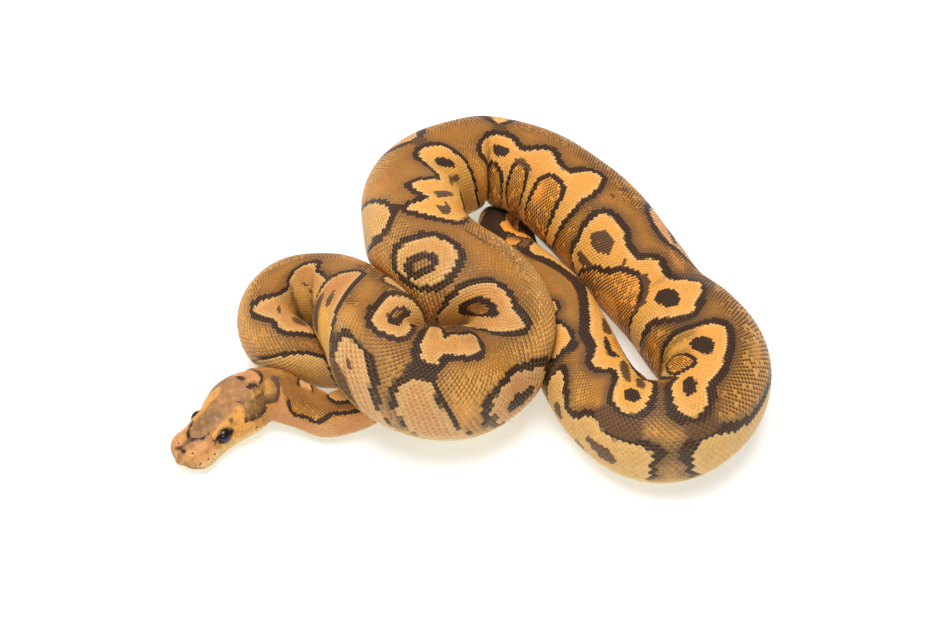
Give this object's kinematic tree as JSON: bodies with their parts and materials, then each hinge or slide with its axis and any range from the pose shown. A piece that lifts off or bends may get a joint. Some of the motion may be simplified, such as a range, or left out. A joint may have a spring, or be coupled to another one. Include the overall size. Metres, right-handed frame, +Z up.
{
  "type": "coiled ball python",
  "caption": "Ball python lying in loose coils on the floor with its head low in front and its tail tucked under the arch behind, life size, as a still model.",
  "frame": {"origin": "on the floor, under the middle of the coil's bounding box", "axes": "+X runs from the head's end of the coil to the big loop's end, -Y is the side that the coil's front faces, +Z up from the floor that the belly rests on"},
  "size_m": [0.1635, 0.1253, 0.0422],
  "materials": {
    "skin": "satin",
    "belly": "satin",
    "eye": "gloss"
  },
  "bodies": {
    "root": {"head": "skin", "lower_jaw": "belly", "eye_left": "eye", "eye_right": "eye", "neck": "skin", "hidden_hairpin": "skin", "left_loop": "skin", "coil_front_left": "skin", "coil_front_right": "skin", "crossing_length": "skin", "upper_bend": "skin", "top_arch": "skin", "long_arch": "skin", "right_loop": "skin", "loop_foot": "skin", "rear_trunk": "skin", "tail": "skin"}
  },
  "joints": []
}
